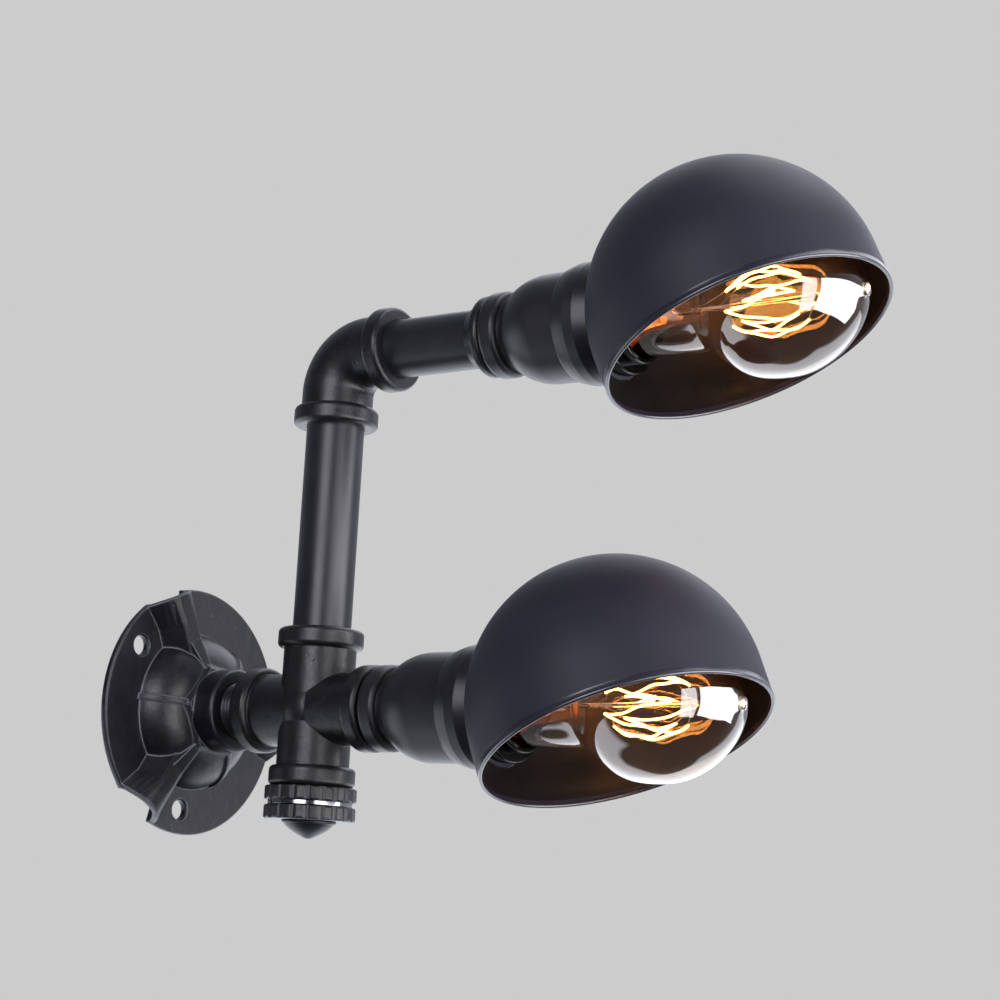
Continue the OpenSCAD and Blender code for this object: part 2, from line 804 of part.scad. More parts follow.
module lower_bulb_stem() {
  color("lightblue", 0.5) at_lower_shade() bulb_stem();
}

module upper_bulb_stem() {
  color("lightblue", 0.5) at_upper_shade() bulb_stem();
}

// Cage of the filament: rings of turning points near the cap, at the
// middle and near the tip, as distance from the shade's centre and radius
filament_back = tip_out - bulb_d;
filament_front = filament_back + filament_len;
filament_mid = filament_back + filament_len * 0.47;
cage_back_r = 9.5;
cage_mid_r = 15.6;
cage_front_r = 10.5;
cage_points = 2 * filament_loops;
// Sector left open between the filament's two ends, in degrees
cage_gap = 30;
cage_step = (360 - cage_gap) / (cage_points - 1);
function cage_dir(i) = 90 + cage_gap / 2 + i * cage_step;
function around(r, a, z) = [r * cos(a), r * sin(a), z];
function cage_end(i, at_back) = at_back ? around(cage_back_r, cage_dir(i), filament_back)
  : around(cage_front_r, cage_dir(i), filament_front);

// Rings of a tube that follows points, each in the plane that halves a corner
function unit(v) = v / norm(v);
function across(d) = unit(abs(d[0]) < 0.8 ? cross(d, [1, 0, 0]) : cross(d, [0, 1, 0]));
function first_ring(p, d, r, n) = let (u = across(d), v = cross(d, u))
  [for (k = [0:n - 1]) p + r * (u * cos(360 * k / n) + v * sin(360 * k / n))];
function corner(pts, i) = let (back = unit(pts[i] - pts[i - 1]))
  i == len(pts) - 1 ? back : unit(back + unit(pts[i + 1] - pts[i]));
function next_ring(ring, pts, i) = let (d = unit(pts[i] - pts[i - 1]), m = corner(pts, i))
  [for (q = ring) q + d * (((pts[i] - q) * m) / (d * m))];
function rings(pts, r, n) =
  [for (i = 0, ring = first_ring(pts[0], unit(pts[1] - pts[0]), r, n); i < len(pts);
    i = i + 1, ring = i < len(pts) ? next_ring(ring, pts, i) : ring) each ring];

// Round wire along a list of points, with n sides
module wire(pts, r, n = 8) {
  last = (len(pts) - 1) * n;
  sides = [for (i = [0:len(pts) - 2]) for (k = [0:n - 1])
    [i * n + k, (i + 1) * n + k, (i + 1) * n + (k + 1) % n, i * n + (k + 1) % n]];
  ends = [[for (k = [0:n - 1]) k], [for (k = [n - 1:-1:0]) last + k]];
  polyhedron(rings(pts, r, n), concat(sides, ends));
}

// One wire that zigzags from end to end of the cage
module filament() {
  run = [for (i = [0:cage_points - 1]) for (j = [0:2])
    j == 1 ? around(cage_mid_r, cage_dir(i), filament_mid) : cage_end(i, (i + j / 2) % 2 == 0)];
  wire(run, filament_wire_r, 6);
}

module lower_filament() {
  color("orange") at_lower_shade() filament();
}

module upper_filament() {
  color("orange") at_upper_shade() filament();
}

// Support wires that hold the filament on the glass rod, and the two
// lead-in wires from the pinch to the filament's ends
module filament_frame() {
  r = 0.2;
  hold = filament_wire_r + r + 0.1;
  for (i = [0:cage_points - 2]) {
    a = cage_dir(i) + cage_step / 2;
    at_back = i % 2 == 1;
    z = at_back ? filament_back : filament_front;
    out = (at_back ? cage_back_r : cage_front_r) * cos(cage_step / 2) - hold;
    wire([around(at_back ? 1.35 : 2.1, a, at_back ? z - 6 : z + 2), around(out, a, z)], r, 6);
  }
  for (s = [-1, 1]) {
    i = s < 0 ? 0 : cage_points - 1;
    wire([[s * 4, 0, cap_top + 25.65], [s * 4, 0.5, filament_back - 10],
      around(cage_back_r, cage_dir(i), filament_back - hold)], r + 0.05, 6);
  }
}

module lower_filament_frame() {
  color("silver") at_lower_shade() filament_frame();
}

module upper_filament_frame() {
  color("silver") at_upper_shade() filament_frame();
}

/* [Switch parts] */
// Places a piece below the cross, with z running down from its centre
module below_cross() {
  at_cross() rotate([180, 0, 0]) children();
}

// Shallow flutes cut round a ring
module fluted(r, z0, h, e) {
  difference() {
    rounded_ring(0, r, z0, z0 + h, e);
    for (i = [0:flutes - 1]) rotate([0, 0, 360 * i / flutes]) translate([r + 1.5, 0, z0 - over])
      cylinder(h = h + 2 * over, r = 2.2);
  }
}

// Fixed collar that screws into the cross and holds the switch
module knob_collar() {
  color("dimgray")
  below_cross()
  difference() {
    union() {
      fluted(knob_collar_r, knob_collar_at, knob_collar_h, 0.9);
      translate([0, 0, cross_foot - thread_depth]) cylinder(h = thread_depth + 1, r = pipe_r);
    }
    cylinder(h = knob_collar_at + 3, r = switch_r + 0.1);
    cylinder(h = knob_band_at + over, r = 7);
  }
}

module knob_band() {
  color("silver")
  below_cross()
  difference() {
    rounded_ring(0, knob_band_r, knob_band_at, knob_band_at + knob_band_h - 0.1, 0.3);
    translate([0, 0, knob_band_at - over]) cylinder(h = knob_band_h + 2 * over, r = 7);
  }
}

module knob() {
  color("dimgray")
  below_cross()
  difference() {
    fluted(knob_r, knob_at, knob_h, 0.9);
    translate([0, 0, knob_at - over]) cylinder(h = knob_h - peg_len + over, r = shaft_r + thread_fit);
    translate([0, 0, finial_at - peg_len - over]) cylinder(h = peg_len + 2 * over, r = peg_r + thread_fit);
  }
}

module knob_finial() {
  foot_t = 1.2;
  neck = finial_h - 2;
  color("dimgray")
  below_cross()
  translate([0, 0, finial_at]) {
    rounded_ring(0, finial_r, 0, foot_t, 0.4);
    // Hollow-sided cone up to the rounded tip
    rotate_extrude()
    difference() {
      square([finial_r - 1, neck]);
      translate([finial_r + 0.6, neck + 6.9]) circle(12);
    }
    translate([0, 0, finial_h - 3]) sphere(3);
    translate([0, 0, -peg_len + 0.2]) cylinder(h = peg_len, r = peg_r);
  }
}

module switch_body() {
  color("ivory")
  below_cross()
  difference() {
    union() {
      translate([0, 0, switch_top]) cylinder(h = knob_collar_at + 3 - switch_top, r = switch_r);
      translate([0, 0, knob_collar_at + 2]) cylinder(h = knob_at - knob_collar_at - 2.2, r = 6.9);
    }
    translate([0, 0, switch_top + 8]) cylinder(h = knob_at, r = shaft_r + running_fit);
  }
}

module switch_shaft() {
  color("silver")
  below_cross()
  translate([0, 0, switch_top + 9]) cylinder(h = finial_at - peg_len - 0.3 - switch_top - 9, r = shaft_r);
}

/* [Wiring parts] */
// Depth of the wire caps in the hollow of the flange
cap_y = -7;
// Place of a lead beside the pipe's middle
spread = 4;
// Place of a lead in a socket's stem
stem_spread = 1.25;

// Place of a wire cap's closed end, just inside the flange's hollow
cap_end = 26.5;

// Wire cap along +X, with its mouth towards the middle
module wire_cap() {
  translate([cap_end - wire_cap_len, 0, 0]) rotate([0, 90, 0])
  difference() {
    union() {
      cylinder(h = wire_cap_len, r1 = wire_cap_r, r2 = wire_cap_r - 1.1);
      translate([0, 0, wire_cap_len]) sphere(wire_cap_r - 1.1);
    }
    translate([0, 0, -over]) cylinder(h = wire_cap_len - 2, r = wire_cap_r - 1.2);
  }
}

module wire_caps() {
  color("orange") translate([0, cap_y, 0]) for (a = [0, 90, 180]) rotate([0, a, 0]) wire_cap();
}

// Start of a lamp's lead, from a wire cap into the flange's nipple
function lead_start(x, z) = [[sign(x) * 15, cap_y, z * 0.95], [sign(x) * 9, cap_y, z * 0.95], [x, -17, z]];

// Rest of a lamp's lead, in the lamp's own directions: sideways, out and up.
// It goes through the cup's stem into the socket and ends on its rivet.
function lead_finish(x, z, cup_at, shade_at, to) =
  let (near = sign(x) * stem_spread, rivet = shade_at - floor_at - floor_t - rivet_t,
    chamber = shade_at - floor_at - floor_t - chamber_t)
  concat([[x, cup_at - 7, z], [near, cup_at + 3, 0]],
    abs(to) > 5 ? [[near, chamber + 1, 0], [to, chamber + 1, 0], [to, rivet, 0]]
      : [[near, chamber - 1.5, 0], [to, chamber + 1.3, 0], [to, rivet, 0]]);

function lower_place(p) = [p[0], -riser_out - p[1], p[2]];
function upper_place(p) =
  [p[0] * cos(arm_turn) + p[1] * sin(arm_turn), p[0] * sin(arm_turn) - p[1] * cos(arm_turn) - riser_out,
   p[2] + arm_rise];

function lower_lead(x, to) = concat(lead_start(x, -2),
  [for (p = lead_finish(x, -2, lower_cup_at, lower_shade_at, to)) lower_place(p)]);

// Through the cross, up the riser and round the elbow
function upper_lead(x, to) = concat(lead_start(x, 2),
  [[x, -riser_out + 8, 2], [x, -riser_out, 10], [x, -riser_out, arm_rise - 9]],
  [for (p = concat([[x, 9, 0]], lead_finish(x, 0, upper_cup_at, upper_shade_at, to))) upper_place(p)]);

module lower_live_lead() {
  color("black") wire(lower_lead(-spread, -terminal_x), lead_r);
}

module lower_neutral_lead() {
  color("white") wire(lower_lead(spread, neutral_x), lead_r);
}

module upper_live_lead() {
  color("black") wire(upper_lead(-spread, -terminal_x), lead_r);
}

module upper_neutral_lead() {
  color("white") wire(upper_lead(spread, neutral_x), lead_r);
}

module switch_feed_lead() {
  color("black")
  wire([[1.5, cap_y, -15], [1.5, cap_y, -8.5], [1.5, -17, -4.5], [1.5, -riser_out + 8, -4.5],
    [1.5, -riser_out, -9.5], [1.5, -riser_out, -switch_top]], lead_r);
}

module switch_return_lead() {
  color("red")
  wire([[-15, cap_y - 2, 0], [-9, cap_y - 2, 0], [-1.5, -18, 0], [-1.5, -riser_out + 10, 0],
    [-1.5, -riser_out, -9.5], [-1.5, -riser_out, -switch_top]], lead_r);
}

// Earth lead: a ring with a crimped barrel under its screw, and a free end
// for the house's earth
module earth_lead() {
  barrel_len = 7;
  barrel_y = -roof_h + 1.5;
  color("green") {
    difference() {
      union() {
        translate([0, -roof_h + terminal_t, earth_at]) rotate([90, 0, 0])
          cylinder(h = terminal_t, r = terminal_r);
        translate([-barrel_len, barrel_y, earth_at]) rotate([0, 90, 0])
          cylinder(h = barrel_len - 3.05, r = 1.35);
      }
      translate([0, 0, earth_at]) rotate([90, 0, 0]) cylinder(h = roof_h + over, r = earth_r + 0.1);
    }
    wire([[-barrel_len, barrel_y, earth_at], [-11, barrel_y, earth_at - 0.5],
      [-16, -9, earth_at - 3], [-18, -5, earth_at - 4]], lead_r);
  }
}

module earth_screw() {
  color("seagreen")
  translate([0, -roof_h + terminal_t, earth_at]) rotate([90, 0, 0]) {
    translate([0, 0, -2]) cylinder(h = 2, r = 2.9);
    translate([0, 0, -0.5]) cylinder(h = terminal_t + 5, r = earth_r);
  }
}

/* [Assembly] */
wall_flange();
flange_nipple();
pipe_cross();
riser_pipe();
pipe_elbow();
arm_pipe();
arm_collar();
lower_nipple();
lower_cup();
upper_cup();
lower_shade_collar();
upper_shade_collar();
socket_stems();
stem_nuts();
lower_socket();
upper_socket();
lower_screw_shell();
upper_screw_shell();
lower_contact();
upper_contact();
lower_shade_nut();
upper_shade_nut();
lower_shade();
upper_shade();
lower_bulb_cap();
upper_bulb_cap();
lower_cap_insulator();
upper_cap_insulator();
lower_bulb_glass();
upper_bulb_glass();
lower_bulb_stem();
upper_bulb_stem();
lower_filament();
upper_filament();
lower_filament_frame();
upper_filament_frame();
knob_collar();
knob_band();
knob();
knob_finial();
switch_body();
switch_shaft();
wire_caps();
upper_live_lead();
upper_neutral_lead();
lower_live_lead();
lower_neutral_lead();
switch_feed_lead();
switch_return_lead();
earth_lead();
earth_screw();
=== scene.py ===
import math

import bmesh
import bpy
from mathutils import Matrix, Vector


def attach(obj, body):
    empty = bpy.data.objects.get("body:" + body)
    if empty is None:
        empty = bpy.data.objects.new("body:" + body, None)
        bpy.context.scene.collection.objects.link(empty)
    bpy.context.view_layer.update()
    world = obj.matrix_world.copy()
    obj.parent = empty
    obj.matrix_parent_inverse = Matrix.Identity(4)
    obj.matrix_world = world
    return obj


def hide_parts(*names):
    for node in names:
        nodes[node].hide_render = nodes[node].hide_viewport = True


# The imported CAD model. The wall is the plane y = 0, the sconce stands out
# towards -Y and Z is up, in metres.
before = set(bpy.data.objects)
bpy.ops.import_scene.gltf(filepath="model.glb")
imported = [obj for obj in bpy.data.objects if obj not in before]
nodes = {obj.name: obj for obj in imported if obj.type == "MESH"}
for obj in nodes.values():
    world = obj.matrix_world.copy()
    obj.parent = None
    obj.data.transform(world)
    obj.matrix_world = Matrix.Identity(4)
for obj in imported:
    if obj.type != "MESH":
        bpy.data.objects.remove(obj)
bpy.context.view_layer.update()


# Camera
# It stands low, to the sconce's left, and looks up at it a little, turned three
# degrees about its own line of sight as the photograph's is.
def camera_axes(forward, roll_deg):
    """The camera's right and up for a line of sight and a turn about it."""
    level = forward.cross(Vector((0, 0, 1))).normalized()
    upright = level.cross(forward)
    c, s = math.cos(math.radians(roll_deg)), math.sin(math.radians(roll_deg))
    return c * level + s * upright, c * upright - s * level


camera_place = Vector((-0.7382, -0.6909, -0.0877))
sight = Vector((0.80346, 0.56291, 0.19389)).normalized()
cam_right, cam_up = camera_axes(sight, 3.02)
camera = bpy.data.objects.new("camera", bpy.data.cameras.new("camera"))
bpy.context.scene.collection.objects.link(camera)
camera.matrix_world = Matrix((
    (cam_right.x, cam_up.x, -sight.x, camera_place.x),
    (cam_right.y, cam_up.y, -sight.y, camera_place.y),
    (cam_right.z, cam_up.z, -sight.z, camera_place.z),
    (0, 0, 0, 1),
))
camera.data.lens = 75.87
camera.data.sensor_width = 36
camera.data.clip_start = 0.01
bpy.context.scene.camera = camera
bpy.context.scene.view_settings.view_transform = "Standard"


# Pipework
# Sand-cast fittings and straight steel pipes screwed together, all painted satin
# black. A painted highlight lightens the fittings' edges, most of all on the flange,
# and the flange's short pipe is threaded.
def srgb(code):
    """Linear colour of a hex code."""
    parts = [int(code[i:i + 2], 16) / 255 for i in (0, 2, 4)]
    return tuple(c / 12.92 if c <= 0.04045 else ((c + 0.055) / 1.055) ** 2.4 for c in parts)


def new_material(name):
    """An empty material and its node tree."""
    material = bpy.data.materials.new(name)
    material.use_nodes = True
    material.node_tree.nodes.clear()
    return material, material.node_tree


def add(tree, kind, settings=None, **inputs):
    """Adds a shader node. An input is named, or i and its number, and takes a
    value or another node's output."""
    made = tree.nodes.new("ShaderNode" + kind)
    for key, value in (settings or {}).items():
        setattr(made, key, value)
    for key, value in inputs.items():
        numbered = key[1:].isdigit()
        socket = made.inputs[int(key[1:]) if numbered else key.replace("_", " ")]
        if isinstance(value, bpy.types.NodeSocket):
            tree.links.new(value, socket)
        elif socket.type == "RGBA" and len(value) == 3:
            socket.default_value = (*value, 1)
        else:
            socket.default_value = value
    return made


def work_out(tree, operation, *values):
    """The result of a sum on values."""
    inputs = {f"i{i}": value for i, value in enumerate(values)}
    return add(tree, "Math", {"operation": operation}, **inputs).outputs[0]


def noise(tree, scale, detail=2.0, rough=0.5):
    """Noise in object coordinates, which are metres, so that a scale of 1000 has
    features of about one millimetre."""
    place = add(tree, "TexCoord").outputs["Object"]
    made = add(tree, "TexNoise", Vector=place, Scale=scale, Detail=detail, Roughness=rough)
    return made.outputs["Fac"]


def spread(tree, value, low, high, at_low=0.0, at_high=1.0):
    """Maps a value from one range to another, clamped."""
    return add(tree, "MapRange", Value=value, i1=low, i2=high, i3=at_low, i4=at_high).outputs[0]


def blend_colors(tree, factor, a, b):
    """Mixes two colours by a factor."""
    return add(tree, "Mix", {"data_type": "RGBA"}, Factor=factor, i6=a, i7=b).outputs[2]


def bump(tree, height, strength, depth, **under):
    """A normal for a height of some depth, on top of another normal if given."""
    made = add(tree, "Bump", Strength=strength, Distance=depth, Height=height, **under)
    return made.outputs[0]


def edge_normal(tree, radius):
    """Rounds hard edges as a coat of paint does."""
    return add(tree, "Bevel", {"samples": 6}, Radius=radius).outputs[0]


def edge_highlight_mask(tree, radius):
    """How much a place lies on an edge, where a highlight is painted: where the rounded normal
    leaves the flat one.
    """
    flat = add(tree, "NewGeometry").outputs["True Normal"]
    same = add(tree, "VectorMath", {"operation": "DOT_PRODUCT"},
               i0=edge_normal(tree, radius), i1=flat)
    return spread(tree, same.outputs["Value"], 0.99, 0.8)


def solid(tree, **inputs):
    """Ends a material in one solid shader."""
    add(tree, "OutputMaterial", i0=add(tree, "BsdfPrincipled", **inputs).outputs[0])


def cast_iron(name, dark, light, edge_highlight_color, edge=0.0009):
    """Sand-cast iron under satin black paint: grain, a few pits, and a painted highlight that
    lightens its edges.
    """
    material, tree = new_material(name)
    grain = noise(tree, 900, 3, 0.6)
    lumps = noise(tree, 160, 2)
    place = add(tree, "TexCoord").outputs["Object"]
    cells = add(tree, "TexVoronoi", {"feature": "F1"}, Vector=place, Scale=210)
    pits = spread(tree, cells.outputs["Distance"], 0.08, 0.2)
    pitted_parts = spread(tree, noise(tree, 60, 1), 0.5, 0.62)
    few_pits = work_out(tree, "MAXIMUM", pits, work_out(tree, "SUBTRACT", 1.0, pitted_parts))
    normal = bump(tree, few_pits, 0.3, 0.0004, Normal=edge_normal(tree, edge))
    normal = bump(tree, lumps, 0.3, 0.0006, Normal=normal)
    normal = bump(tree, grain, 0.18, 0.0002, Normal=normal)
    color = blend_colors(tree, spread(tree, lumps, 0.35, 0.7), srgb(dark), srgb(light))
    # Edges get a lighter colour here, which is a painted highlight.
    color = blend_colors(tree, edge_highlight_mask(tree, 0.0012), color, srgb(edge_highlight_color))
    roughness = spread(tree, grain, 0.3, 0.7, 0.32, 0.44)
    solid(tree, Base_Color=color, Roughness=roughness, Normal=normal)
    return material


def black_paint(name, dark, light, rough, gloss=0.5, texture=0.05, edge=0.0004):
    """Black paint over smooth metal, a little uneven in tone and polish, with a
    faint orange-peel texture."""
    material, tree = new_material(name)
    peel = noise(tree, 1300, 2)
    cloud = noise(tree, 45, 3, 0.6)
    normal = bump(tree, peel, texture, 0.0002, Normal=edge_normal(tree, edge))
    color = blend_colors(tree, spread(tree, cloud, 0.3, 0.7), srgb(dark), srgb(light))
    roughness = spread(tree, cloud, 0.3, 0.7, rough - 0.03, rough + 0.03)
    solid(tree, Base_Color=color, Roughness=roughness, Specular_IOR_Level=gloss, Normal=normal)
    return material


def dress(material, *names):
    """Gives CAD nodes a material."""
    for name in names:
        slots = nodes[name].data.materials
        slots.clear()
        slots.append(material)


def piece(name, body, mesh_data, materials, stands_for):
    """Makes a new piece that rides on a body and replaces CAD nodes."""
    mesh = bpy.data.meshes.new(name)
    mesh_data.to_mesh(mesh)
    mesh_data.free()
    for polygon in mesh.polygons:
        polygon.use_smooth = True
    for material in materials:
        mesh.materials.append(material)
    made = bpy.data.objects.new(name, mesh)
    bpy.context.scene.collection.objects.link(made)
    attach(made, body)
    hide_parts(*stands_for)


def turned(profile, steps, bm=None):
    """Spins a profile of (radius, height) points about Z into a closed skin."""
    bm = bm or bmesh.new()
    verts = [bm.verts.new((r, 0, z)) for r, z in profile]
    edges = [bm.edges.new(pair) for pair in zip(verts, verts[1:])]
    bmesh.ops.spin(bm, geom=verts + edges, cent=(0, 0, 0), axis=(0, 0, 1),
                   angle=2 * math.pi, steps=steps, use_merge=True)
    bmesh.ops.remove_doubles(bm, verts=bm.verts, dist=1e-6)
    bmesh.ops.recalc_face_normals(bm, faces=bm.faces)
    return bm


def threaded_nipple():
    """The short pipe out of the flange, turned about Z, with a thread cut into it
    from end to end, then laid along -Y."""
    corners = [Vector(corner) for corner in nodes["flange_nipple"].bound_box]
    start, end = -max(c.y for c in corners), -min(c.y for c in corners)
    radius, bore = max(c.x for c in corners), 0.0105
    pitch, depth, rows_per_pitch = 0.0018, 0.0009, 6
    rows = round((end - start) / pitch * rows_per_pitch)
    outside = [(radius, start + (end - start) * row / rows) for row in range(rows + 1)]
    bm = turned(outside + [(bore, end), (bore, start), outside[0]], 72)
    for vert in bm.verts:
        if vert.co.xy.length > (radius + bore) / 2:
            turn = math.atan2(vert.co.y, vert.co.x) / (2 * math.pi)
            groove = abs(2 * ((vert.co.z / pitch - turn) % 1) - 1)
            vert.co.xy *= (radius - depth * groove) / radius
    bmesh.ops.transform(bm, matrix=Matrix.Rotation(math.radians(90), 4, "X"), verts=bm.verts)
    return bm


cast_black = cast_iron("cast_iron_satin_black", "0e0e12", "17171c", edge_highlight_color="24242b")
flange_black = cast_iron("cast_flange_satin_black", "0b0b10", "14141b", edge_highlight_color="70727f",
                         edge=0.0016)
pipe_black = black_paint("steel_pipe_satin_black", "17171d", "1e1e26", rough=0.37)
dress(cast_black, "pipe_cross", "pipe_elbow", "arm_collar")
dress(flange_black, "wall_flange")
dress(pipe_black, "riser_pipe", "arm_pipe", "lower_nipple")
piece("flange_nipple_thread", "frame", threaded_nipple(), [pipe_black],
      ["flange_nipple"])


# Lamp holders
# Cups and collars of turned steel, painted satin black, screwed on the pipes. The
# stem, its nut and the contacts inside them are bare brass, the sockets plastic.
def metal(name, color, rough, variation=0.06):
    """Bare metal with slightly uneven polish."""
    material, tree = new_material(name)
    cloud = noise(tree, 300, 3)
    roughness = spread(tree, cloud, 0.3, 0.7, rough, rough + variation)
    tint = blend_colors(tree, cloud, color, tuple(c * 0.85 for c in color))
    solid(tree, Base_Color=tint, Metallic=1.0, Roughness=roughness)
    return material


def moulded(name, code, rough):
    """Moulded plastic or rubber with a fine grain."""
    material, tree = new_material(name)
    grain = noise(tree, 1500, 2)
    base = srgb(code)
    color = blend_colors(tree, grain, base, tuple(c * 0.8 for c in base))
    solid(tree, Base_Color=color, Roughness=rough, Normal=bump(tree, grain, 0.05, 0.0001))
    return material


holder_black = black_paint("turned_steel_satin_black", "131318", "19191f", rough=0.4)
brass = metal("brass_bright", srgb("c9974a"), 0.22)
socket_black = moulded("socket_plastic_black", "060607", 0.12)
dress(holder_black, "lower_cup", "upper_cup", "lower_shade_collar", "upper_shade_collar")
dress(brass, "socket_stems", "stem_nuts", "lower_screw_shell", "upper_screw_shell",
      "lower_contact", "upper_contact")
dress(socket_black, "lower_socket", "upper_socket", "lower_shade_nut", "upper_shade_nut")

# Each lamp's own directions: x sideways, y up and z out along its axis, from
# the middle of its shade. The upper arm is screwed in one degree off straight.
riser_line, arm_height = -0.0784, 0.1655
outwards = Matrix.Rotation(math.radians(90), 4, "X")
lamp_places = {
    "lower": Matrix.Translation((0, riser_line, 0)) @ outwards
    @ Matrix.Translation((0, 0, 0.1588)),
    "upper": Matrix.Translation((0, riser_line, arm_height))
    @ Matrix.Rotation(math.radians(1), 4, "Z") @ outwards @ Matrix.Translation((0, 0, 0.2065)),
}

# Shades
# Spun steel, matt black outside and in, with a rolled bead round the mouth and
# a flat seat where the collar and the ring nut clamp it.
shade_black = black_paint("spun_steel_matt_black", "1b1b26", "1f1f2a", rough=0.56, gloss=0.3,
                          texture=0.03, edge=0.0001)
shade_inside = black_paint("spun_steel_black_inside", "0e0d0e", "100f10", rough=0.3, gloss=0.5,
                           texture=0.02, edge=0.0001)
shade_bead = black_paint("spun_steel_satin_bead", "1c1b26", "22212c", rough=0.26, gloss=0.9,
                         texture=0.02, edge=0.0001)
outside_part, inside_part, bead_part = range(3)
mouth_tilt = 66
lamp_turns = {"lower": -4.7, "upper": 1.3}


def shade_skin(lamp):
    """The bowl about its mouth's axis, then its seat about the lamp's axis."""
    r, wall, skirt, bead = 0.0624, 0.0012, 0.017, 0.0009
    quarter = [math.pi / 2 * i / 48 for i in range(49)]
    skirt_rows = (0.3, 0.6, 0.85)
    outer = [(r * math.sin(a), -r * math.cos(a)) for a in quarter]
    outer += [(r, skirt * k) for k in skirt_rows]
    bead_r, bead_z = r - bead + 0.0002, skirt - 0.0002
    lip = [(bead_r + bead * math.cos(a), bead_z + bead * math.sin(a))
           for a in (math.radians(-35 + 230 * i / 16) for i in range(17))]
    inner = [(r - wall, skirt * k) for k in reversed(skirt_rows)]
    inner += [((r - wall) * math.sin(a), -(r - wall) * math.cos(a)) for a in reversed(quarter)]
    bm = turned(outer + lip + inner, 160)

    # The inside's paint stops just short of the dome's middle.
    paint_end = -0.061
    for face in bm.faces:
        middle = face.calc_center_median()
        from_axis = middle.xy.length
        if middle.z > skirt - 2 * bead and from_axis > r - 2.2 * bead:
            face.material_index = bead_part
        elif math.hypot(from_axis, min(middle.z, 0)) < r - wall / 2 and middle.z > paint_end:
            face.material_index = inside_part

    # The bowl is cut flat across the lamp's axis, its inside one wall deeper than
    # its outside, and a flat ring round the lamp's hole closes the cut.
    bmesh.ops.transform(bm, verts=bm.verts, matrix=Matrix.Rotation(
        math.radians(lamp_turns[lamp]), 4, "Z") @ Matrix.Rotation(
        math.radians(mouth_tilt), 4, "X"))
    seat, hole_r, seat_r, seat_inner_r = -0.0567, 0.0198, 0.026, 0.0254
    for part, cut in ((outside_part, seat), (inside_part, seat + wall)):
        faces = [face for face in bm.faces if face.material_index == part]
        edges = dict.fromkeys(edge for face in faces for edge in face.edges)
        verts = dict.fromkeys(vert for face in faces for vert in face.verts)
        bmesh.ops.bisect_plane(bm, geom=[*faces, *edges, *verts], plane_co=(0, 0, cut),
                               plane_no=(0, 0, -1), clear_outer=True)
    turned([(hole_r, seat), (seat_r, seat), (seat_inner_r, seat + wall),
            (hole_r, seat + wall), (hole_r, seat)], 96, bm)
    bmesh.ops.transform(bm, matrix=lamp_places[lamp], verts=bm.verts)
    return bm


for lamp in ("lower", "upper"):
    piece(f"{lamp}_shade_bowl", f"{lamp}_shade_body", shade_skin(lamp),
          [shade_black, shade_inside, shade_bead], [f"{lamp}_shade"])


# Bulbs
# Thin amber glass round a clear glass mount, a wire bent up and down round a
# cage that glows, and a brass screw cap with a black insulator.
def glass(name, tint, coat, painted_glow_color, middle, near, far, glow, crumple=0.0):
    """Glass that lets the bulb's own light through. Its coat mirrors more towards
    its outline, and a painted glow in it shines up to near from a middle and is gone at far."""
    material, tree = new_material(name)
    normal = bump(tree, noise(tree, 500, 2), crumple, 0.001)
    clear = add(tree, "BsdfGlass", Color=tint, Roughness=0.0, IOR=1.45, Normal=normal)
    mirror = add(tree, "BsdfAnisotropic", Color=(0.95, 0.97, 1.0), Roughness=0.0, Normal=normal)
    outline = add(tree, "LayerWeight", Blend=0.5).outputs["Facing"]
    outer_side = work_out(tree, "SUBTRACT", 1.0, add(tree, "NewGeometry").outputs["Backfacing"])
    shine = work_out(tree, "MULTIPLY", outer_side,
                     spread(tree, outline, 0.55, 1.0, coat, min(coat * 5, 0.6)))
    coated = add(tree, "MixShader", i0=shine, i1=clear.outputs[0], i2=mirror.outputs[0])
    ray = add(tree, "LightPath").outputs
    lets_through = work_out(tree, "MAXIMUM", ray["Is Shadow Ray"], ray["Is Diffuse Ray"])
    through = add(tree, "BsdfTransparent", Color=tint)
    body = add(tree, "MixShader", i0=lets_through, i1=coated.outputs[0], i2=through.outputs[0])
    # A painted glow: the glass itself shines near a middle, fading with distance, as if lit by the
    # wire.
    place = add(tree, "TexCoord").outputs["Object"]
    away = add(tree, "VectorMath", {"operation": "DISTANCE"}, i0=place, i1=middle)
    fade = add(tree, "MapRange", {"interpolation_type": "SMOOTHSTEP"},
               Value=away.outputs["Value"], i1=near, i2=far, i3=glow, i4=0.0)
    painted_glow = add(tree, "Emission", Color=painted_glow_color, Strength=fade.outputs[0])
    both = add(tree, "AddShader", i0=body.outputs[0], i1=painted_glow.outputs[0])
    add(tree, "OutputMaterial", i0=both.outputs[0])
    return material


def glowing(name, color, strength):
    """Hot wire."""
    material, tree = new_material(name)
    solid(tree, Base_Color=color, Roughness=0.5, Emission_Color=color,
          Emission_Strength=strength)
    return material


def millimetres(points):
    """Profile points given in millimetres, in metres."""
    return [(r / 1000, z / 1000) for r, z in points]


def smooth(knots, steps):
    """Points on a smooth curve through the knots."""
    out = []
    for i in range(len(knots) - 1):
        a, b = knots[max(i - 1, 0)], knots[i]
        c, d = knots[i + 1], knots[min(i + 2, len(knots) - 1)]
        for j in range(steps):
            t = j / steps
            out.append(tuple(
                0.5 * (2 * q + (r - p) * t + (2 * p - 5 * q + 4 * r - s) * t * t
                       + (3 * q - p - 3 * r + s) * t ** 3) for p, q, r, s in zip(a, b, c, d)))
    return out + [tuple(knots[-1])]


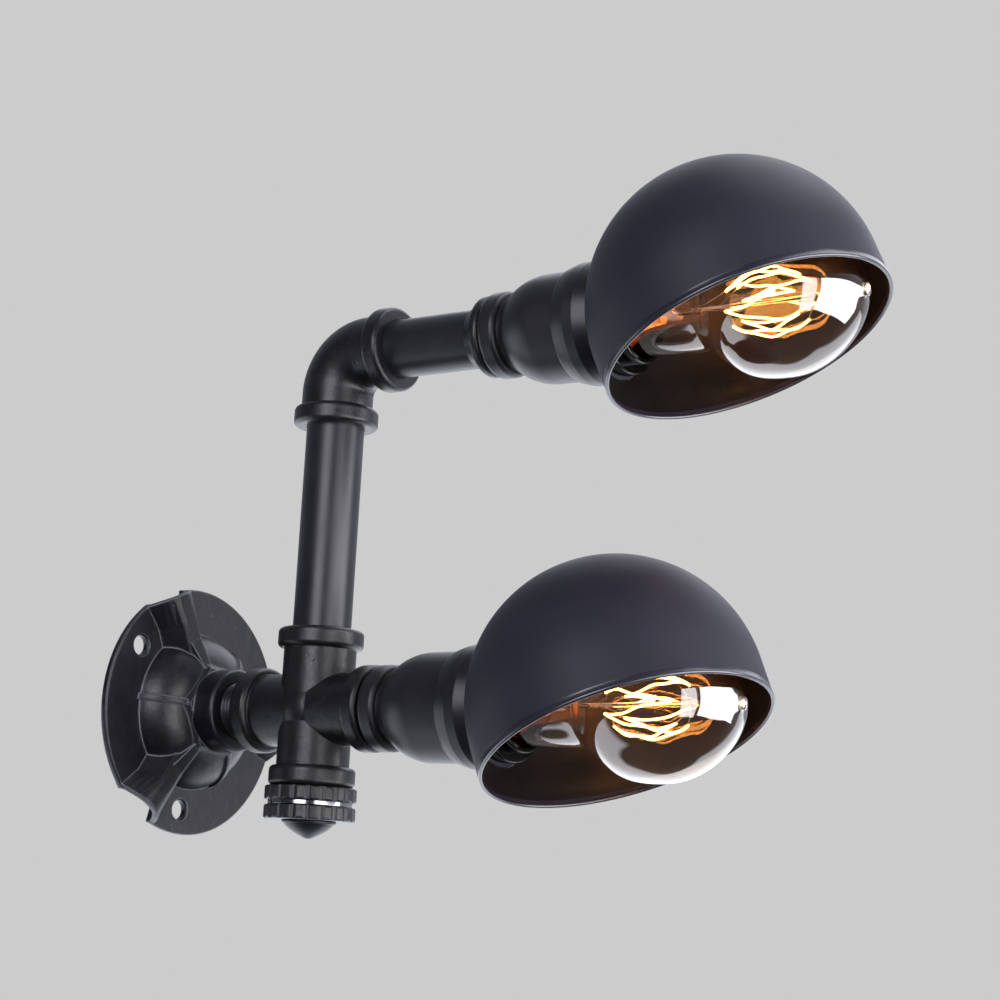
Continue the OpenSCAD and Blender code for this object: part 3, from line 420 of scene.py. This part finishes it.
def tube(bm, points, radius, sides):
    """Adds a round wire along points: a ring at each, bridged to the next."""
    points = [Vector(p) for p in points]
    rings = []
    side = None
    for i, p in enumerate(points):
        ahead = (points[min(i + 1, len(points) - 1)] - points[max(i - 1, 0)]).normalized()
        if side is None:
            side = ahead.orthogonal().normalized()
        side = (side - ahead * side.dot(ahead)).normalized()
        other = ahead.cross(side)
        rings.append([bm.verts.new(p + radius * (side * math.cos(a) + other * math.sin(a)))
                      for a in (2 * math.pi * k / sides for k in range(sides))])
    for one, two in zip(rings, rings[1:]):
        for k in range(sides):
            bm.faces.new((one[k], one[(k + 1) % sides], two[(k + 1) % sides], two[k]))
    bm.faces.new(rings[0][::-1])
    bm.faces.new(rings[-1])


def bulb_glass():
    """The pear-shaped envelope with its pinched tip, about Z."""
    tip, top, wall = 60.5, -52.5, 0.8
    knots = [(12.15, top - 1.5), (12.15, top - 0.2), (13.6, top + 3), (15.5, top + 8),
             (17, top + 15), (17.5, top + 24), (17.6, tip - 74), (19.5, tip - 69.5),
             (25.9, tip - 61), (30.6, tip - 52), (32, tip - 41), (30.9, tip - 30),
             (25.9, tip - 19), (18.6, tip - 10.5), (10.6, tip - 5), (3.4, tip - 2.6),
             (2.6, tip - 0.9), (0, tip)]
    dome_end, pip_inside = tip - 3, tip - 2.4 - wall * 0.5
    inside = [(max(r - wall, 0), z if z < dome_end else min(z, pip_inside))
              for r, z in knots[:-2]]
    outer, inner = smooth(knots, 8), smooth(inside + [(0, tip - 3.4)], 8)
    bm = turned(millimetres(outer + inner[::-1] + [outer[0]]), 128)

    # The outer side looks away from the axis, and in the round end from its middle.
    round_end = 0.02
    for face in bm.faces:
        x, y, z = face.calc_center_median()
        looks_out = Vector((x, y, max(z - round_end, 0))).dot(face.normal) > 0
        face.material_index = 0 if looks_out else 1
    return bm


def bulb_mount():
    """The glass mount: flare, pinch, rod and button, about Z."""
    foot, rod_foot = -53.9, -27.9
    flare = [(0, foot + 3.2), (6, foot + 3), (9.6, foot + 0.4), (11.1, foot),
             (11.2, foot + 0.9), (8, foot + 4.5), (5.2, foot + 11), (3.9, foot + 19),
             (3.6, foot + 20.4), (0, foot + 20.8)]
    rod = [(0, rod_foot), (1.1, rod_foot), (1.1, 34.5), (1.3, 35), (1.9, 35.9),
           (1.9, 37), (1.3, 38), (0, 38.4)]
    bm = turned(millimetres(smooth(flare, 5)), 48)
    pinch = bmesh.ops.create_cube(bm, size=1)["verts"]
    bmesh.ops.scale(bm, vec=(0.011, 0.0032, 0.008), verts=pinch)
    bmesh.ops.translate(bm, vec=(0, 0, (foot + 23.4) / 1000), verts=pinch)
    edges = list(dict.fromkeys(edge for vert in pinch for edge in vert.link_edges))
    bmesh.ops.bevel(bm, geom=edges, offset=0.0013, offset_type="OFFSET", affect="EDGES",
                    segments=3, profile=0.5, material=-1)
    for face in bm.faces:
        if face.calc_center_median().z > (foot + 20.9) / 1000:
            face.material_index = 1
    return turned(millimetres(rod), 24, bm)


# The cage: radius and height of its ends, and its fullest radius, in millimetres,
# then the strands' first and last direction round it in degrees.
cage = {"back": (8.6, -0.5), "mid": 13.9, "front": (9.4, 31.5)}
strands, cage_start, cage_end = 12, 105, 435
cage_step = (cage_end - cage_start) / (strands - 1)


def around(radius, degrees, z):
    """A point at a radius and a direction round Z, from millimetres."""
    a = math.radians(degrees)
    return (radius * math.cos(a) / 1000, radius * math.sin(a) / 1000, z / 1000)


def filament():
    """Strands from end to end of the cage, bowed and a little wavy, that meet in
    sharp turns on the hooks."""
    bm = bmesh.new()
    (r_back, z_back), (r_front, z_front) = cage["back"], cage["front"]
    bulge = cage["mid"] - (r_back + r_front) / 2
    steps = 18
    for i in range(strands):
        strand = []
        for k in range(steps + 1):
            s = k / steps
            bow = math.sin(math.pi * s)
            r = r_back + (r_front - r_back) * s + bulge * bow ** 0.8
            turn = cage_step * (s - 0.5 if i % 2 == 0 else 0.5 - s)
            angle = min(max(cage_start + cage_step * i + turn, cage_start), cage_end)
            wave = 0.6 * math.sin(2.3 * i + 13 * s) * bow
            drift = 2.5 * math.sin(1.7 * i + 9 * s) * bow
            strand.append(around(r + wave, angle + drift, z_back + (z_front - z_back) * s))
        tube(bm, strand, 0.0005, 8)
    return bm


def filament_wires():
    """Hooks that hold the cage on the glass rod, and two lead-in wires."""
    bm = bmesh.new()
    for i in range(strands - 1):
        a = cage_start + cage_step * (i + 0.5)
        end, root, bend = ("back", -6, -2) if i % 2 else ("front", 2, 2.2)
        r, z = cage[end]
        reach = r * math.cos(math.radians(cage_step / 2)) - 0.4
        hook = [around(1.2, a, z + root), around(reach * 0.55, a, z + bend), around(reach, a, z)]
        tube(bm, smooth(hook, 5), 0.0002, 6)
    r, z = cage["back"]
    for side, a in ((-0.004, cage_start), (0.004, cage_end)):
        lead = [(side, 0, -0.027), (side, 0.0005, -0.0135), around(r, a, z)]
        tube(bm, smooth(lead, 6), 0.00025, 6)
    return bm


def on_axis(lamp, z):
    """A point on a lamp's axis, out from the middle of its shade."""
    return tuple(lamp_places[lamp] @ Vector((0, 0, z)))


cap_brass = metal("brass_screw_cap", srgb("d99a4e"), 0.25)
dress(cap_brass, "lower_bulb_cap", "upper_bulb_cap")
dress(moulded("cap_insulator_black", "0b0b0d", 0.15), "lower_cap_insulator", "upper_cap_insulator")
hot_wire = glowing("filament_hot", (1.0, 0.52, 0.13), 14.0)
support_steel = metal("support_wire_bright", srgb("b8b4ac"), 0.2)
amber = (0.93, 0.86, 0.8)

for lamp in ("lower", "upper"):
    body = f"{lamp}_bulb_body"
    # The amber envelope gets a painted orange glow round the middle of the cage.
    amber_painted_glow = {"painted_glow_color": (1.0, 0.42, 0.16), "middle": on_axis(lamp, 0.015),
                  "near": 0.02, "far": 0.05, "glow": 0.006}
    outer_glass = glass(f"glass_amber_{lamp}", amber, 0.12, **amber_painted_glow)
    inner_glass = glass(f"glass_amber_{lamp}_inside", amber, 0.0, **amber_painted_glow)
    # The mount gets a painted deep orange glow at its foot, and its pinch a pale painted glint.
    mount_glass = glass(f"glass_mount_{lamp}", (0.97, 0.95, 0.92), 0.02, painted_glow_color=(1.0, 0.24, 0.02),
                        middle=on_axis(lamp, -0.045), near=0.007, far=0.013, glow=0.8)
    pinch_glass = glass(f"glass_pinch_{lamp}", (0.97, 0.95, 0.94), 0.3, painted_glow_color=(1.0, 0.75, 0.65),
                        middle=on_axis(lamp, -0.0305), near=0.0, far=0.009, glow=0.25,
                        crumple=0.9)
    for name, slot, bm, materials, stands_for in (
        ("envelope", "amber_glass", bulb_glass(), [outer_glass, inner_glass], "bulb_glass"),
        ("mount", "clear_glass", bulb_mount(), [mount_glass, pinch_glass], "bulb_stem"),
        ("cage", "filament", filament(), [hot_wire], "filament"),
        ("hooks", "support_wire", filament_wires(), [support_steel], "filament_frame"),
    ):
        bmesh.ops.transform(bm, matrix=lamp_places[lamp], verts=bm.verts)
        piece(f"{lamp}_bulb_{name}", body, bm, materials, [f"{lamp}_{stands_for}"])
    glow = bpy.data.lights.new(f"{lamp}_bulb_light", "POINT")
    glow.energy = 0.12
    glow.color = (1.0, 0.42, 0.12)
    glow.shadow_soft_size = 0.012
    lit = bpy.data.objects.new(f"{lamp}_bulb_light", glow)
    lit.location = on_axis(lamp, 0.014)
    lit.visible_camera = False
    lit.visible_glossy = False
    lit.visible_transmission = False
    bpy.context.scene.collection.objects.link(lit)

# Knob
# Two fluted cast rings with a polished band between them. The lower ring turns,
# and a small finial of turned steel, painted satin black, ends it below.
knob_black = cast_iron("knob_satin_black", "17171a", "1e1e22", edge_highlight_color="1e1e22", edge=0.0008)
chrome = metal("chrome_polished", srgb("b4b4ba"), 0.12)
dress(knob_black, "knob_collar", "knob")
dress(chrome, "knob_band")


def finial():
    """A flat foot ring, a groove, and a low dome that ends in a blunt tip, turned
    over so that its tip is where the CAD node's is."""
    length = 8.1
    profile = [(0, 0), (12.2, 0), (12.2, 1), (11.9, 1.4), (11.2, 1.5), (11, 1.9),
               (10.6, 2.4), (8.6, 4.1), (6, 5.7), (3.8, 6.8), (2.2, 7.6), (1.1, 8),
               (0, length)]
    bm = turned(millimetres(profile), 64)
    tip = min(corner[2] for corner in nodes["knob_finial"].bound_box)
    foot = Matrix.Translation((0, riser_line, tip + length / 1000))
    bmesh.ops.transform(bm, matrix=foot @ Matrix.Rotation(math.pi, 4, "X"), verts=bm.verts)
    return bm


piece("knob_finial_dome", "knob_body", finial(), [holder_black], ["knob_finial"])

# Inside
# Switch, wire caps, leads and the earth screw, seen only from behind the wall.
dress(moulded("switch_plastic_ivory", "d8d0bd", 0.5), "switch_body")
dress(metal("steel_zinc_plated", srgb("b4b6b8"), 0.3), "switch_shaft")
dress(metal("earth_screw_green", srgb("3f7a4a"), 0.35), "earth_screw")
dress(moulded("wire_cap_orange", "c8641e", 0.4), "wire_caps")
dress(moulded("insulation_black", "17171a", 0.45), "lower_live_lead", "upper_live_lead",
      "switch_feed_lead")
dress(moulded("insulation_white", "d9d7d0", 0.45), "lower_neutral_lead", "upper_neutral_lead")
dress(moulded("insulation_red", "9a2019", 0.45), "switch_return_lead")
dress(moulded("insulation_green", "2f7a3c", 0.45), "earth_lead")


# Light and background
# Five soft lights, and a flat pale backdrop that the camera sees. Metal mirrors a
# room instead: pale behind the sconce, a white table below, and dark in front.
def softbox(name, azimuth, elevation, distance, size, radiance, color):
    """A rectangular soft light that faces the lamps from a direction in degrees."""
    lamps_middle = Vector((0.0, -0.2, 0.09))
    data = bpy.data.lights.new(name, "AREA")
    data.shape = "RECTANGLE"
    data.size, data.size_y = size
    data.energy = radiance * math.pi * size[0] * size[1]
    data.color = color
    az, el = math.radians(azimuth), math.radians(elevation)
    away = Vector((math.cos(el) * math.cos(az), math.cos(el) * math.sin(az), math.sin(el)))
    made = bpy.data.objects.new(name, data)
    made.location = lamps_middle + away * distance
    made.rotation_euler = away.to_track_quat("Z", "Y").to_euler()
    bpy.context.scene.collection.objects.link(made)


softbox("softbox_front", 278, -2, 1.05, (1.26, 0.95), 7.0, (0.95, 0.95, 1.0))
softbox("softbox_front_narrow", 236, -4, 1.1, (0.3, 0.9), 4.0, (0.94, 0.94, 1.0))
softbox("softbox_left", 186, 11, 1.1, (0.6, 0.75), 6.0, (0.92, 0.92, 1.0))
softbox("softbox_top", 320, 70, 1.1, (0.8, 0.6), 2.5, (0.93, 0.93, 1.0))
softbox("softbox_back", 12, 42, 1.2, (1.3, 1.0), 1.6, (0.88, 0.88, 1.0))

world = bpy.data.worlds.new("studio")
bpy.context.scene.world = world
world.use_nodes = True
sky = world.node_tree
sky.nodes.clear()
toward = add(sky, "TexCoord").outputs["Generated"]
height = add(sky, "SeparateXYZ", Vector=toward).outputs["Z"]


def facing(direction, low, high):
    """How far a direction of the room lies on one side, from 0 to 1."""
    along = add(sky, "VectorMath", {"operation": "DOT_PRODUCT"}, i0=toward, i1=direction)
    return spread(sky, along.outputs["Value"], low, high)


dark, wall_light, table_light = 0.04, 0.5, 1.9
behind = facing((0.80, 0.2, 0.56), -0.1, 0.95)
table_depth = work_out(sky, "MULTIPLY", spread(sky, height, -0.02, -0.06),
                       spread(sky, height, -0.82, -0.78))
table = work_out(sky, "MULTIPLY", table_depth, facing((0.643, 0.766, 0), 0.1, 0.2))
room_light = work_out(sky, "MULTIPLY_ADD", table, table_light,
                      work_out(sky, "MULTIPLY_ADD", behind, wall_light, dark))
room = add(sky, "Background", Color=(0.88, 0.92, 1.0), Strength=room_light)
backdrop = add(sky, "Background", Color=srgb("cccccc"), Strength=1.0)
ray = add(sky, "LightPath").outputs
sees_backdrop = work_out(sky, "MAXIMUM", ray["Is Camera Ray"], ray["Is Transmission Ray"])
shown = add(sky, "MixShader", i0=sees_backdrop, i1=room.outputs[0], i2=backdrop.outputs[0])
add(sky, "OutputWorld", i0=shown.outputs[0])
